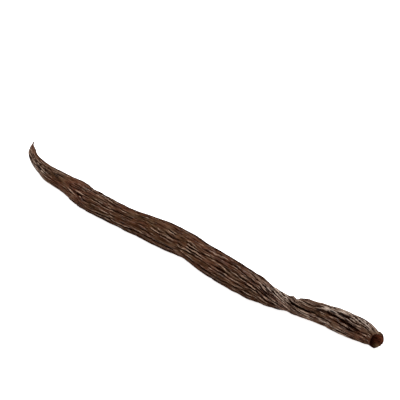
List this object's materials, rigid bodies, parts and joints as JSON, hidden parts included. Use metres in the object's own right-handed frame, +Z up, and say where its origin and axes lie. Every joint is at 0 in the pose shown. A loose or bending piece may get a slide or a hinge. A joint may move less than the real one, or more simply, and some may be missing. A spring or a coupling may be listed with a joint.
{
  "type": "vanilla pod",
  "caption": "Cured vanilla pod, long and thin, with a hooked tip, lengthwise furrows, a wrung waist and a hollow flared stalk end. Lies flat as food dressing.",
  "frame": {"origin": "on the table under the middle of the pod's box, at the bottom of its flat sole", "axes": "+X along the pod from the hooked tip to the hollow stalk end, +Y to the side that the tip hooks towards, +Z up"},
  "size_m": [0.1486, 0.0171, 0.0073],
  "materials": {
    "pod_skin": "dark brown cured skin, wrinkled lengthwise, dull with a faint oily sheen on its crests"
  },
  "bodies": {
    "root": {"pod": "pod_skin"}
  },
  "joints": []
}
